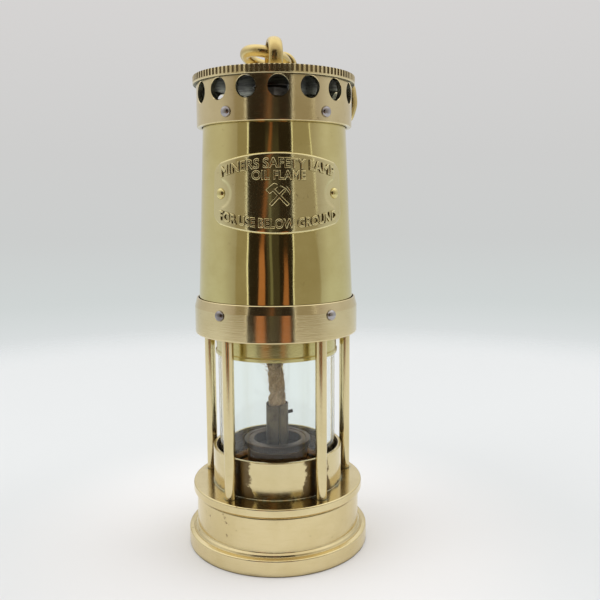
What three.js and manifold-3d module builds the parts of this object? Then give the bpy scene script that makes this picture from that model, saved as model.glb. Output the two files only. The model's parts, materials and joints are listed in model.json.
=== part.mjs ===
// A miner's flame safety lamp: a fuel vessel with burner, wick and pricker, a screw-on frame with glass,
// two gauzes and bonnet, and a standing eye, link and hook on the crown.
// Millimetres, +Z up. The origin is the centre of the foot on the surface that the lamp stands on.
// Azimuth 0 faces -Y, the lamp's front, and grows towards +X.

import * as THREE from 'three';
import { mergeVertices } from 'three/addons/utils/BufferGeometryUtils.js';
import Module from 'manifold-3d';

const wasm = await Module();
wasm.setup();

// Facets round a full turn
const wide = 36;
const hidden = 16;
const slender = 10;

// Gaps
const gap = 0.3;
const weld = 1e-4;

// Fuel vessel
const footRadius = 40;
const footHeight = 7.3;
const vesselRadius = 36.2;
const vesselTop = 23.1;
const spigotRadius = 26.35;
const deckTop = 29.4;
const baseUnderside = 9.2;
const baseTop = 10.4;
const recessRadius = 33.4;
const deckOpening = 10.2;

// Burner, wick and pricker
const plateTop = 31.5;
const neckRadius = 13.4;
const neckBore = 11.6;
const neckTop = 41.9;
const burnerBottom = 42.6;
const burnerTop = 46.6;
const burnerRadius = 14.8;
const burnerOpening = 10.5;
const tubeRadius = 4.95;
const tubeTop = 62.2;
const wickTop = 81.4;
const prickerOffset = 7.4;
const prickerWire = 0.8;
const prickerArmHeight = 55.1;

// Frame
const ringBottom = 23.3;
const ringTop = 27.9;
const ringRadius = 37.7;
const collarRadius = 28.65;
const collarBore = 26.85;
const collarTop = 43.95;
const pillarRadius = 2.5;
const pillarCircle = 32.3;
const pillarAzimuths = [-38.2, 33.8, 105.8, 177.8, 249.8];
const tenonRadius = 1.7;
const tenonDepth = 2.7;
const glassRadius = 25.7;
const glassWall = 3.5;
const glassBottom = 35.4;
const glassTop = 87.1;
const seatTop = 101.4;

// Bonnet
const bonnetRingBottom = 95.2;
const bonnetRingFloor = 99.6;
const bonnetRingTop = 110.45;
const bonnetRingRadius = 35.3;
const shellFootRadius = 33.3;
const shellTopRadius = 30.3;
const shellWall = 1;
const shellTop = 189.4;
const bandBottom = 181.8;
const bandTop = 199.5;
const bandRadius = 32.7;
const bandBore = 30.6;
const ventCount = 16;
const ventRadius = 4;
const ventHeight = 194.9;
const ventStart = 2.7;
const crownRadius = 34.05;
const crownTop = 202.65;
const ringRivetHeight = 105.6;
const ringRivetAzimuths = [-40.3, 38.5, 110, 178, 250];
const bandRivetHeight = 185.8;
const bandRivetAzimuths = [-35.3, 38, 110, 182, 254];
const rivetHead = 1.85;
const rivetShank = 1.1;

// Nameplate
const plateAzimuth = 2.6;
const plateHalfAngle = 51;
const plateMiddle = 154.3;
const plateHalfHeight = 15.7;
const plateEndHalfHeight = 10.8;
const plateThickness = 0.7;
const plateRivetAzimuths = [-41.6, 46.6];

// Eye, link and hook
const eyeAzimuth = 188;
const eyeHeight = 211.4;
const eyeRing = 6.5;
const eyeShank = 3.5;
const linkRing = 8.85;
const linkRod = 2.5;
const linkAzimuth = 200;
const linkHoldOffset = 0.8;
const linkHoldHeight = 212.63;
const linkRoll = 12;
const linkDroop = 7;
const hookPlace = 8;
const hookEyeRing = 4.8;
const hookEyeOffset = -0.2;
const hookRimAzimuth = 118;
const hookRod = 2.35;
// [distance from the hook's eye, height] along the rod, out over the crown's rim, down and back in
const hookRoute = [[11, 207.9], [16.5, 206.6], [22, 205.9], [26.4, 205.3], [28.9, 203.4], [30.3, 201], [30.9, 198],
  [31.2, 194.3], [30.5, 191.2], [29.3, 188.3], [27.5, 187.7]];

const brass = metal(0xcdb98a, 0.25);
const sheetBrass = metal(0xc2b878, 0.15);
const steel = metal(0xb8b4b0, 0.35);
const darkBronze = metal(0x6a6358, 0.5);
const tubeMetal = metal(0x5a5248, 0.6);
const gauzeSteel = metal(0x5c5a55, 0.6);
const clearGlass = new THREE.MeshStandardMaterial({
  color: 0xf2f6f4, roughness: 0.05, transparent: true, opacity: 0.3,
});
const cotton = cloth(0xcfc6b4);
const wickCotton = cloth(0x8f8069);
const fibre = cloth(0x6b5c48);

function metal(color, roughness) {
  return new THREE.MeshStandardMaterial({ color, roughness, metalness: 1 });
}

function cloth(color) {
  return new THREE.MeshStandardMaterial({ color, roughness: 0.95, metalness: 0 });
}

function radians(degrees) {
  return THREE.MathUtils.degToRad(degrees);
}

function outward(azimuth) {
  return new THREE.Vector3(Math.sin(radians(azimuth)), -Math.cos(radians(azimuth)), 0);
}

function around(azimuth, radius, z) {
  return outward(azimuth).multiplyScalar(radius).setZ(z);
}

// A solid of revolution about Z. The outline is [radius, height] pairs that start and end on the axis.
function turned(outline, facets = wide) {
  const points = outline.map(([radius, height]) => new THREE.Vector2(radius, height));
  return new THREE.LatheGeometry(points, facets).rotateX(Math.PI / 2);
}

// A ring of revolution, whose outline closes on itself.
function ring(outline, facets = wide) {
  return turned([...outline, outline[0]], facets);
}

function pipe(inner, outer, bottom, top, facets = wide) {
  return ring([[inner, bottom], [outer, bottom], [outer, top], [inner, top]], facets);
}

function rod(radius, bottom, top, facets = slender) {
  return turned([[0, bottom], [radius, bottom], [radius, top], [0, top]], facets);
}

function solid(geometry) {
  const bare = geometry.clone();
  bare.deleteAttribute('normal');
  bare.deleteAttribute('uv');
  const merged = mergeVertices(bare, weld);
  const index = merged.index.array;
  const triangles = [];
  for (let i = 0; i < index.length; i += 3) {
    const [a, b, c] = [index[i], index[i + 1], index[i + 2]];
    if (a !== b && b !== c && c !== a) triangles.push(a, b, c);
  }
  const vertProperties = new Float32Array(merged.attributes.position.array);
  const mesh = new wasm.Mesh({ numProp: 3, vertProperties, triVerts: new Uint32Array(triangles) });
  return new wasm.Manifold(mesh);
}

function geometryOf(shape) {
  const mesh = shape.getMesh();
  const geometry = new THREE.BufferGeometry();
  geometry.setAttribute('position', new THREE.BufferAttribute(new Float32Array(mesh.vertProperties), 3));
  geometry.setIndex(new THREE.BufferAttribute(new Uint32Array(mesh.triVerts), 1));
  return geometry;
}

function cut(geometry, cutters) {
  return geometryOf(cutters.reduce((rest, cutter) => rest.subtract(solid(cutter)), solid(geometry)));
}

function joined(geometries) {
  return geometryOf(geometries.slice(1).reduce((sum, next) => sum.add(solid(next)), solid(geometries[0])));
}

function radialDrill(azimuth, radius, height, hole, facets) {
  const depth = 8;
  const drill = new THREE.CylinderGeometry(hole, hole, depth, facets);
  const centre = around(azimuth, radius, height);
  return drill.rotateZ(radians(azimuth)).translate(centre.x, centre.y, centre.z);
}

function uprightDrill(x, y, radius, bottom, top) {
  return rod(radius, bottom, top).translate(x, y, 0);
}

const lamp = new THREE.Group();

function add(name, geometry, material) {
  const mesh = new THREE.Mesh(geometry, material);
  mesh.name = name;
  lamp.add(mesh);
  return mesh;
}

// Turns a piece that was made along +Z so that it points outward from the lamp's axis.
function addRadial(name, geometry, material, azimuth, radius, height) {
  const mesh = add(name, geometry, material);
  mesh.quaternion.setFromUnitVectors(new THREE.Vector3(0, 0, 1), outward(azimuth));
  mesh.position.copy(around(azimuth, radius, height));
}

function shellRadius(height) {
  const share = (height - bonnetRingTop) / (bandBottom - bonnetRingTop);
  return shellFootRadius + (shellTopRadius - shellFootRadius) * share;
}

function makeVessel() {
  const ledge = 31.5;
  const ceiling = 20.5;
  const spigotBore = 23.5;
  const deckUnderside = 27.2;
  add('vessel_body', ring([
    [recessRadius, 0], [footRadius - 0.4, 0], [footRadius, 0.6], [footRadius, footHeight - 0.5],
    [footRadius - 0.6, footHeight], [vesselRadius + 1.2, footHeight + 0.3], [vesselRadius, footHeight + 1.3],
    [vesselRadius, vesselTop], [spigotRadius, vesselTop], [spigotRadius, deckTop], [deckOpening, deckTop],
    [deckOpening, deckUnderside], [spigotBore, deckUnderside], [spigotBore, ceiling], [ledge, ceiling],
    [ledge, baseTop + gap], [recessRadius, baseTop + gap],
  ]), brass);
  const base = rod(recessRadius - gap, baseUnderside, baseTop, wide);
  add('vessel_base', cut(base, [uprightDrill(0, prickerOffset, 2.5, 8, 12)]), brass);
  add('cotton_packing', pipe(deckOpening, 30.8, baseTop + 0.4, ceiling - 0.5, hidden), cotton);
}

function makeBurner() {
  const wickHole = tubeRadius + gap;
  const plate = ring([
    [wickHole, deckTop], [22, deckTop], [22, plateTop], [neckRadius, plateTop], [neckRadius, neckTop],
    [neckBore, neckTop], [neckBore, plateTop], [wickHole, plateTop],
  ]);
  add('burner_plate', cut(plate, [uprightDrill(0, prickerOffset, 2.4, deckTop - 1, plateTop + 1)]), brass);
  const dish = ring([
    [9.75, plateTop + gap], [10.2, plateTop + gap], [10.2, 42], [wickHole, 40.8], [wickHole, 40], [9.75, 41],
  ]);
  add('burner_dish', cut(dish, [uprightDrill(0, prickerOffset, 1.3, 39, 43)]), darkBronze);
  add('wick_tube', pipe(4.3, tubeRadius, 12, tubeTop, hidden), tubeMetal);
  add('burner_washer', pipe(neckBore + 0.2, neckRadius - 0.2, neckTop + 0.15, neckTop + 0.55, hidden), fibre);
  add('burner_ring', ring([
    [burnerOpening, 37.2], [neckBore - gap, 37.2], [neckBore - gap, burnerBottom], [burnerRadius, burnerBottom],
    [burnerRadius, burnerTop - 0.3], [burnerRadius - 0.4, burnerTop], [burnerOpening, burnerTop],
  ]), darkBronze);
  add('wick', turned([
    [0, 19], [3.9, 19], [3.9, 67], [3.5, 74], [3.9, 78], [2.6, wickTop], [0, wickTop],
  ], hidden), wickCotton);
}

function makePricker() {
  const bend = 1.5;
  const corner = prickerArmHeight - 0.4;
  const route = new THREE.CurvePath();
  const foot = new THREE.Vector3(0, prickerOffset, 0.9);
  const beforeBend = new THREE.Vector3(0, prickerOffset, corner - bend);
  const afterBend = new THREE.Vector3(bend, prickerOffset, corner);
  const tip = new THREE.Vector3(7.6, prickerOffset - 0.3, prickerArmHeight);
  route.add(new THREE.LineCurve3(foot, beforeBend));
  route.add(new THREE.QuadraticBezierCurve3(beforeBend, new THREE.Vector3(0, prickerOffset, corner), afterBend));
  route.add(new THREE.LineCurve3(afterBend, tip));
  const wire = new THREE.ExtrudeGeometry(disc(prickerWire, 6), { extrudePath: route, steps: 20 });
  add('pricker_wire', wire, steel);
  add('pricker_guide', pipe(1.2, 2.1, baseUnderside, 34.5, slender).translate(0, prickerOffset, 0), brass);
  add('pricker_collar', pipe(1.2, 2.4, 2.7, 3.7, slender).translate(0, prickerOffset, 0), brass);
  add('pricker_knob', pipe(1.2, 5, 0.7, 2.4, hidden).translate(0, prickerOffset, 0), brass);
}

// A circle as a shape of straight sides
function disc(radius, sides) {
  const shape = new THREE.Shape();
  for (let i = 0; i < sides; i += 1) {
    const angle = (2 * Math.PI * i) / sides;
    const [x, y] = [radius * Math.cos(angle), radius * Math.sin(angle)];
    if (i === 0) shape.moveTo(x, y);
    else shape.lineTo(x, y);
  }
  shape.closePath();
  return shape;
}

function pillarDrills(bottom, top) {
  return pillarAzimuths.map((azimuth) => {
    const centre = around(azimuth, pillarCircle, 0);
    return uprightDrill(centre.x, centre.y, tenonRadius + gap, bottom, top);
  });
}

function makeLowerFrame() {
  const sealRecess = 34.9;
  const sealTop = 24.3;
  const plate = ring([
    [sealRecess, ringBottom], [vesselRadius + 0.1, ringBottom], [ringRadius - 0.25, ringBottom + 0.8],
    [ringRadius, ringBottom + 1.7], [ringRadius, ringTop - 0.7], [ringRadius - 0.6, ringTop],
    [collarRadius, ringTop], [collarRadius, collarTop], [collarBore, collarTop], [collarBore, sealTop],
    [sealRecess, sealTop],
  ]);
  add('pillar_base_ring', cut(plate, pillarDrills(ringTop - tenonDepth - gap, ringTop + 1)), brass);
  add('vessel_seal', pipe(collarBore + gap, sealRecess - 0.4, ringBottom + 0.1, sealTop - 0.3, hidden), fibre);
  const pillar = turned([
    [0, ringTop - tenonDepth], [tenonRadius, ringTop - tenonDepth], [tenonRadius, ringTop],
    [pillarRadius, ringTop], [pillarRadius, bonnetRingBottom], [tenonRadius, bonnetRingBottom],
    [tenonRadius, bonnetRingFloor - 0.4], [0, bonnetRingFloor - 0.4],
  ], slender);
  pillarAzimuths.forEach((azimuth, i) => {
    add(`pillar_${i + 1}`, pillar, brass).position.copy(around(azimuth, pillarCircle, 0));
  });
}

function makeGlass() {
  const bore = glassRadius - glassWall;
  const retainerTop = 34.6;
  add('glass_retainer_ring', pipe(bore + gap, collarBore - gap, 32.2, retainerTop), brass);
  add('lower_glass_gasket', pipe(bore + gap, glassRadius, retainerTop, glassBottom, hidden), fibre);
  add('glass', pipe(bore, glassRadius, glassBottom, glassTop), clearGlass);
  add('upper_glass_gasket', pipe(bore + gap, glassRadius - 0.1, glassTop, glassTop + 0.8, hidden), fibre);
  const skirt = glassRadius + 0.35;
  const shoulder = glassTop + 0.8;
  add('gauze_seat_ring', ring([
    [skirt, 85.8], [26.7, 85.8], [26.7, 87.2], [26.4, 87.5], [26.4, bonnetRingFloor + gap],
    [29.8, bonnetRingFloor + gap], [29.8, seatTop], [bore + gap, seatTop], [bore + gap, shoulder], [skirt, shoulder],
  ]), brass);
}

// A closed wire-cloth cap with a flange at its foot
function gauzeCap(foot, topRadius, bottom, top) {
  const wall = 0.8;
  const flange = 29.3;
  const sheet = 0.6;
  return turned([
    [0, top - wall], [topRadius - wall, top - wall], [foot - wall, bottom], [flange, bottom],
    [flange, bottom + sheet], [foot, bottom + sheet], [topRadius, top], [0, top],
  ], hidden);
}

function makeGauzes() {
  add('inner_gauze', gauzeCap(21.8, 19.8, seatTop + 0.2, 173), gauzeSteel);
  add('outer_gauze', gauzeCap(25.2, 23, seatTop + 1.1, 181), gauzeSteel);
  add('gauze_clamp_ring', pipe(26, 30.8, seatTop + 2, seatTop + 4, hidden), brass);
}

function makeBonnetRing() {
  const bore = 33.75;
  const opening = 26.9;
  const bevelBottom = 106.7;
  const body = ring([
    [opening, bonnetRingBottom], [bonnetRingRadius, bonnetRingBottom], [bonnetRingRadius, bevelBottom],
    [34.4, bonnetRingTop], [bore, bonnetRingTop], [bore, bonnetRingFloor], [opening, bonnetRingFloor],
  ]);
  const drills = pillarDrills(bonnetRingBottom - 1, bonnetRingFloor + 1);
  const rivetDrills = ringRivetAzimuths.map((a) => {
    return radialDrill(a, bore, ringRivetHeight, rivetShank + gap, slender);
  });
  add('bonnet_ring', cut(body, [...drills, ...rivetDrills]), brass);
}

function makeBonnetShell() {
  const foot = bonnetRingFloor + gap;
  const heights = [foot, bonnetRingTop, bandBottom, shellTop];
  const outer = heights.map((z) => [z > foot ? shellRadius(z) : 33.45, z]);
  const inner = outer.map(([radius, z]) => [radius - shellWall, z]).reverse();
  const middle = shellFootRadius - shellWall / 2;
  const drills = [
    ...ringRivetAzimuths.map((a) => radialDrill(a, middle, ringRivetHeight, rivetShank + gap, slender)),
    ...bandRivetAzimuths.map((a) => radialDrill(a, middle - 3, bandRivetHeight, rivetShank + gap, slender)),
    ...plateRivetAzimuths.map((a) => radialDrill(a, middle - 2, plateMiddle, rivetShank + gap, slender)),
  ];
  add('bonnet_shell', cut(ring([...outer, ...inner]), drills), sheetBrass);
}

function makeVentBand() {
  const drills = [];
  for (let i = 0; i < ventCount; i += 1) {
    const azimuth = ventStart + (360 * i) / ventCount;
    drills.push(radialDrill(azimuth, bandBore, ventHeight, ventRadius, slender));
  }
  bandRivetAzimuths.forEach((a) => {
    drills.push(radialDrill(a, bandBore + 1, bandRivetHeight, rivetShank + gap, slender));
  });
  add('vent_band', cut(pipe(bandBore, bandRadius, bandBottom, bandTop), drills), brass);
}

// A round-headed rivet along +Z, with its head's underside at 0
function rivet(length) {
  const tail = 0.6;
  const headHeight = 1.1;
  return turned([
    [0, -length - tail], [1.6, -length - tail], [1.6, -length], [rivetShank, -length], [rivetShank, 0],
    [rivetHead, 0], [rivetHead * 0.86, headHeight * 0.5], [rivetHead * 0.5, headHeight * 0.87], [0, headHeight],
  ], slender);
}

function makeRivets() {
  const lift = 0.1;
  const ringRivet = rivet(bonnetRingRadius + 2 * lift - 32.1);
  ringRivetAzimuths.forEach((a, i) => {
    addRadial(`bonnet_ring_rivet_${i + 1}`, ringRivet, steel, a, bonnetRingRadius + lift, ringRivetHeight);
  });
  const bandRivet = rivet(bandRadius + 2 * lift - 28.9);
  bandRivetAzimuths.forEach((a, i) => {
    addRadial(`vent_band_rivet_${i + 1}`, bandRivet, steel, a, bandRadius + lift, bandRivetHeight);
  });
  const plateFace = shellRadius(plateMiddle) + gap + plateThickness;
  const plateRivet = rivet(plateThickness + shellWall + 2 * gap + 0.1);
  plateRivetAzimuths.forEach((a, i) => {
    addRadial(`nameplate_rivet_${i + 1}`, plateRivet, sheetBrass, a, plateFace + lift, plateMiddle);
  });
}

// A plate bent to the bonnet's cone, with its upper and lower edges arched
function makeNameplate() {
  const columns = 16;
  const flat = new THREE.BoxGeometry(2, 2, 1, columns, 2, 1);
  const position = flat.attributes.position;
  for (let i = 0; i < position.count; i += 1) {
    const across = position.getX(i);
    const halfHeight = plateHalfHeight - (plateHalfHeight - plateEndHalfHeight) * across * across;
    const height = plateMiddle + position.getY(i) * halfHeight;
    const depth = (position.getZ(i) + 0.5) * plateThickness;
    const point = around(plateAzimuth + across * plateHalfAngle, shellRadius(height) + gap + depth, height);
    position.setXYZ(i, point.x, point.y, point.z);
  }
  const face = shellRadius(plateMiddle);
  const drills = plateRivetAzimuths.map((a) => radialDrill(a, face, plateMiddle, rivetShank + gap, slender));
  add('nameplate', cut(flat, drills), sheetBrass);
}

function makeCrown() {
  add('crown', ring([
    [eyeShank + 0.4, bandTop], [crownRadius, bandTop], [crownRadius, crownTop - 0.4],
    [crownRadius - 0.4, crownTop], [eyeShank + 0.4, crownTop],
  ]), brass);
  add('eye_washer', pipe(eyeShank + 0.4, 9, 198.6, bandTop - 0.2, hidden), steel);
}

// A ring of oval section whose hole points along an axis
function ovalRing(radius, radialHalf, axialHalf, axis, centre, facets) {
  const sides = 8;
  const outline = [];
  for (let i = 0; i < sides; i += 1) {
    const angle = (2 * Math.PI * i) / sides;
    outline.push([radius + radialHalf * Math.cos(angle), axialHalf * Math.sin(angle)]);
  }
  const turn = new THREE.Quaternion().setFromUnitVectors(new THREE.Vector3(0, 0, 1), axis);
  return ring(outline, facets).applyQuaternion(turn).translate(centre.x, centre.y, centre.z);
}

function makeEye() {
  const hole = outward(eyeAzimuth - 90);
  const loop = ovalRing(eyeRing, 1.8, 3, hole, new THREE.Vector3(0, 0, eyeHeight), 24);
  const shank = turned([
    [0, 192.8], [eyeShank, 192.8], [eyeShank, crownTop + gap], [6.2, crownTop + gap], [6.2, crownTop + 1.4],
    [4.6, crownTop + 2.4], [4, crownTop + 3.2], [0, crownTop + 3.2],
  ], hidden);
  add('eye', joined([loop, shank]), brass);
  const blank = turned([[0, 194.8], [6.6, 194.8], [6.6, 198.3], [0, 198.3]], 6);
  add('eye_nut', cut(blank, [rod(eyeShank + gap, 194, 199)]), steel);
}

// The link's own directions: along its rod in the eye, and from there to its centre
function linkFrame() {
  const back = outward(linkAzimuth);
  const side = outward(linkAzimuth - 90);
  const along = side.clone().multiplyScalar(-Math.cos(radians(linkRoll)));
  along.z += Math.sin(radians(linkRoll));
  const down = new THREE.Vector3().crossVectors(along, back);
  const toCentre = back.clone().multiplyScalar(Math.cos(radians(linkDroop)));
  toCentre.addScaledVector(down, Math.sin(radians(linkDroop)));
  const hold = around(linkAzimuth, linkHoldOffset, linkHoldHeight);
  const centre = hold.addScaledVector(toCentre, linkRing);
  return { along, toCentre, centre };
}

function makeLink() {
  const { along, toCentre, centre } = linkFrame();
  const axis = new THREE.Vector3().crossVectors(toCentre, along).normalize();
  add('link', ovalRing(linkRing, linkRod, linkRod, axis, centre, 24), brass);
}

function makeHook() {
  const { along, toCentre, centre } = linkFrame();
  const offset = toCentre.clone().multiplyScalar(Math.sin(radians(hookPlace)));
  offset.addScaledVector(along, -Math.cos(radians(hookPlace)));
  const eyeCentre = centre.clone().addScaledVector(offset, linkRing + hookEyeOffset);
  const rim = around(hookRimAzimuth, crownRadius, eyeCentre.z);
  const ahead = rim.clone().sub(eyeCentre).normalize();
  const swing = new THREE.Vector3(-ahead.y, ahead.x, 0);
  const at = (reach, height) => eyeCentre.clone().addScaledVector(ahead, reach).setZ(height);
  const points = [[hookEyeRing, eyeCentre.z - 0.5], ...hookRoute].map(([reach, height]) => at(reach, height));
  const route = new THREE.CatmullRomCurve3(points);
  const shank = new THREE.ExtrudeGeometry(disc(hookRod, 8), { extrudePath: route, steps: 22 });
  const eye = ovalRing(hookEyeRing, 1.6, 1.9, swing, eyeCentre, 20);
  add('hook', joined([eye, shank]), brass);
}

makeVessel();
makeBurner();
makePricker();
makeLowerFrame();
makeGlass();
makeGauzes();
makeBonnetRing();
makeBonnetShell();
makeVentBand();
makeRivets();
makeNameplate();
makeCrown();
makeEye();
makeLink();
makeHook();

export default lamp;
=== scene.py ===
"""A miner's flame safety lamp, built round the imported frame.

Lengths are in metres, but profiles, places and radii on the lamp are written in millimetres.
"""

import functools
import json
import math
import random

import bmesh
import bpy
from mathutils import Matrix, Vector


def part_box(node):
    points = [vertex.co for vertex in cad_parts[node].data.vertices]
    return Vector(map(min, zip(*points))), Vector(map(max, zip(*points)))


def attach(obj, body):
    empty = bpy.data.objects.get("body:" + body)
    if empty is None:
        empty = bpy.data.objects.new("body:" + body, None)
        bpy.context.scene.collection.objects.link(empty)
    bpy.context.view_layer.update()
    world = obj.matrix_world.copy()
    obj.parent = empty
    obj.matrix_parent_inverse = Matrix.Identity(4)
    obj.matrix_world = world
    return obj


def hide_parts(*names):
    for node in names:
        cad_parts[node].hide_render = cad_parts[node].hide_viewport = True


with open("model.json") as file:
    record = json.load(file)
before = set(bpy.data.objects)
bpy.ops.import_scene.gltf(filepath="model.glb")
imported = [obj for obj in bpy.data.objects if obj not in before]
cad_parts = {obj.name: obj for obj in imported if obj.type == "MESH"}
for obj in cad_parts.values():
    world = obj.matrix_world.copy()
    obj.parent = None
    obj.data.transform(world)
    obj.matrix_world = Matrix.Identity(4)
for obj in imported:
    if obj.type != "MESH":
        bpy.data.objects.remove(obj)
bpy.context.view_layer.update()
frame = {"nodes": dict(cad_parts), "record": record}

MM = 0.001
FINE, MEDIUM, COARSE = 240, 96, 64  # facets round a full turn
RNG = random.Random(7)

VENTS, VENT_START, VENT_RADIUS, VENT_HEIGHT = 16, 2.7, 4.15, 194.8
CROWN_NOTCHES = 110
PLATE_AZIMUTH = 2.6
PLATE_MIDDLE = 154.3
PLATE_LIFT = 1.1


# ---- sizes from the frame


@functools.cache
def reach(node):
    """A round node's outer radius, bottom and top in millimetres."""
    low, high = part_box(node)
    return (high[0] - low[0]) / 2 / MM, low[2] / MM, high[2] / MM


def outward(azimuth):
    """Azimuth 0 faces the lamp's front, -Y, and grows towards +X."""
    a = math.radians(azimuth)
    return Vector((math.sin(a), -math.cos(a), 0))


def around(azimuth, radius, height):
    return outward(azimuth) * radius + Vector((0, 0, height))


def node_centre(node):
    low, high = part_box(node)
    return (Vector(low) + Vector(high)) / 2 / MM


def node_azimuth(node):
    centre = node_centre(node)
    return math.degrees(math.atan2(centre.x, -centre.y))


# ---- node trees


class Tree:
    """Short calls for building the nodes of a material or the world."""

    def __init__(self, owner):
        owner.use_nodes = True
        self.owner = owner
        self.nodes = owner.node_tree.nodes
        self.links = owner.node_tree.links

    def add(self, kind, inputs=(), **settings):
        node = self.nodes.new("ShaderNode" + kind)
        for key, value in settings.items():
            setattr(node, key, value)
        for key, value in dict(inputs).items():
            self.put(node.inputs[key], value)
        return node

    def put(self, socket, value):
        if isinstance(value, bpy.types.NodeSocket):
            self.links.new(value, socket)
        else:
            socket.default_value = value

    def math(self, operation, a, b=0.0, clamp=False):
        return self.add("Math", {0: a, 1: b}, operation=operation, use_clamp=clamp).outputs[0]

    def plus(self, a, b, clamp=False):
        return self.math("ADD", a, b, clamp)

    def minus(self, a, b):
        return self.math("SUBTRACT", a, b)

    def times(self, a, b):
        return self.math("MULTIPLY", a, b)

    def ramp(self, factor, stops):
        node = self.add("ValToRGB", {0: factor})
        elements = node.color_ramp.elements
        while len(elements) < len(stops):
            elements.new(0.5)
        for element, (place, colour) in zip(elements, stops):
            element.position = place
            element.color = colour
        return node.outputs[0]

    def band(self, value, low, high):
        """0 on the side of low, 1 on the side of high."""
        inputs = {"Value": value, "From Min": low, "From Max": high}
        return self.add("MapRange", inputs, interpolation_type="SMOOTHSTEP").outputs[0]

    def mix(self, factor, a, b, blend="MIX"):
        return self.add("Mix", {0: factor, 6: a, 7: b}, data_type="RGBA", blend_type=blend).outputs[2]

    def noise(self, vector, scale, detail=3.0, roughness=0.5):
        inputs = {"Vector": vector, "Scale": scale, "Detail": detail, "Roughness": roughness}
        return self.add("TexNoise", inputs).outputs[0]

    def corners(self, distance):
        """1 in the open, lower in corners."""
        return self.add("AmbientOcclusion", {"Distance": distance}, samples=6).outputs["AO"]

    def bump(self, height, strength, distance):
        return self.add("Bump", {"Strength": strength, "Distance": distance, "Height": height})

    def place(self):
        return self.add("TexCoord").outputs["Object"]

    def surface(self, **sockets):
        """Sets the shader's inputs and returns the material."""
        for key, value in sockets.items():
            self.put(self.nodes["Principled BSDF"].inputs[key.replace("_", " ")], value)
        return self.owner


def new_material(name):
    return Tree(bpy.data.materials.new(name))


def srgb(red, green, blue):
    def linear(value):
        value /= 255
        return value / 12.92 if value <= 0.04045 else ((value + 0.055) / 1.055) ** 2.4

    return (linear(red), linear(green), linear(blue), 1)


def round_the_axis(tree):
    """(place, radius, height, a vector that is stretched along turned lines)."""
    place = tree.place()
    x, y, z = tree.add("SeparateXYZ", {"Vector": place}).outputs
    radius = tree.math("SQRT", tree.plus(tree.times(x, x), tree.times(y, y)))
    safe = tree.math("MAXIMUM", radius, 1e-4)
    across = tree.plus(z, tree.times(radius, 0.8))
    around_x, around_y = (tree.times(tree.math("DIVIDE", side, safe), 0.0016) for side in (x, y))
    return place, radius, z, tree.add("CombineXYZ", {0: around_x, 1: around_y, 2: across}).outputs[0]


# ---- materials


def brass(
    name, colour, roughness, lines=0.0, anisotropy=0.0, grime_and_shade=0.5, wave=0.0, cast=0.0, crust=False,
    stain=None, stain_and_shade_colour=None,
):
    """Turned or drawn brass.

    lines: depth of the tool lines; grime_and_shade: dark patina and painted shade in corners, and specks
    and pits; wave: slow dents; cast: a grainy skin;
    crust: green verdigris in corners; stain: gives a mask, of a stained place on the collar and of
    painted shade in the crown's slots.
    """
    tree = new_material(name)
    place, radius, z, stretched = round_the_axis(tree)
    streak = tree.noise(stretched, 2600, 2.0, 0.7)
    cloud = tree.noise(place, 55, 4.0, 0.6)
    fleck = tree.noise(place, 900, 2.0, 0.6)
    dark = tuple(c * k for c, k in zip(colour, (0.86, 0.83, 0.74))) + (1,)
    base = tree.mix(tree.times(tree.band(cloud, 0.40, 0.68), 0.55), colour, dark)
    base = tree.mix(tree.times(tree.band(streak, 0.5, 0.75), 0.25), base, dark)
    corner = tree.corners(0.0028)
    openness = tree.plus(corner, tree.times(tree.minus(cloud, 0.5), 0.5))
    # Corners and hollows are darkened towards dark brown, where the ambient occlusion is low: dark patina
    # and painted shade together.
    dirt_and_shade = tree.times(tree.minus(1.0, tree.band(openness, 0.35, 0.8)), grime_and_shade)
    base = tree.mix(dirt_and_shade, base, srgb(58, 44, 28))
    speck = tree.times(tree.band(fleck, 0.68, 0.74), tree.times(tree.band(cloud, 0.5, 0.62), 0.5))
    base = tree.mix(tree.times(speck, grime_and_shade), base, srgb(70, 52, 34))
    pits = tree.band(tree.noise(place, 330, 3.0, 0.6), 0.66, 0.70)
    pits = tree.times(pits, tree.band(cloud, 0.54, 0.60))
    base = tree.mix(tree.times(pits, grime_and_shade * 0.8), base, srgb(92, 62, 36))
    if crust:
        green = tree.minus(1.0, tree.band(corner, 0.55, 0.9))
        green = tree.times(green, tree.band(tree.noise(place, 420, 4.0, 0.7), 0.47, 0.56))
        base = tree.mix(green, base, srgb(158, 172, 156))
    rough = tree.plus(roughness, tree.times(tree.minus(streak, 0.5), roughness * 0.7))
    rough = tree.plus(rough, tree.times(dirt_and_shade, 0.35), clamp=True)
    # The mask mixes in a darker colour: a real stain on the collar, painted shade in the crown's slots.
    if stain:
        mask = stain(tree, place, radius, z)
        base = tree.mix(mask, base, stain_and_shade_colour)
        rough = tree.plus(rough, tree.times(mask, 0.2), clamp=True)
    height = tree.times(streak, lines)
    if cast:
        height = tree.plus(height, tree.times(tree.noise(place, 1500, 3.0, 0.6), cast))
    bump = tree.bump(height, 0.35, 0.00004)
    if wave:
        tree.put(bump.inputs["Normal"], tree.bump(tree.noise(place, 42, 1.0, 0.4), 0.5, wave).outputs[0])
    tangent = tree.add("Tangent", direction_type="RADIAL", axis="Z").outputs[0]
    return tree.surface(
        Base_Color=base, Metallic=1.0, Roughness=rough, Normal=bump.outputs[0], Anisotropic=anisotropy,
        Anisotropic_Rotation=0.25, Tangent=tangent,
    )


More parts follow.
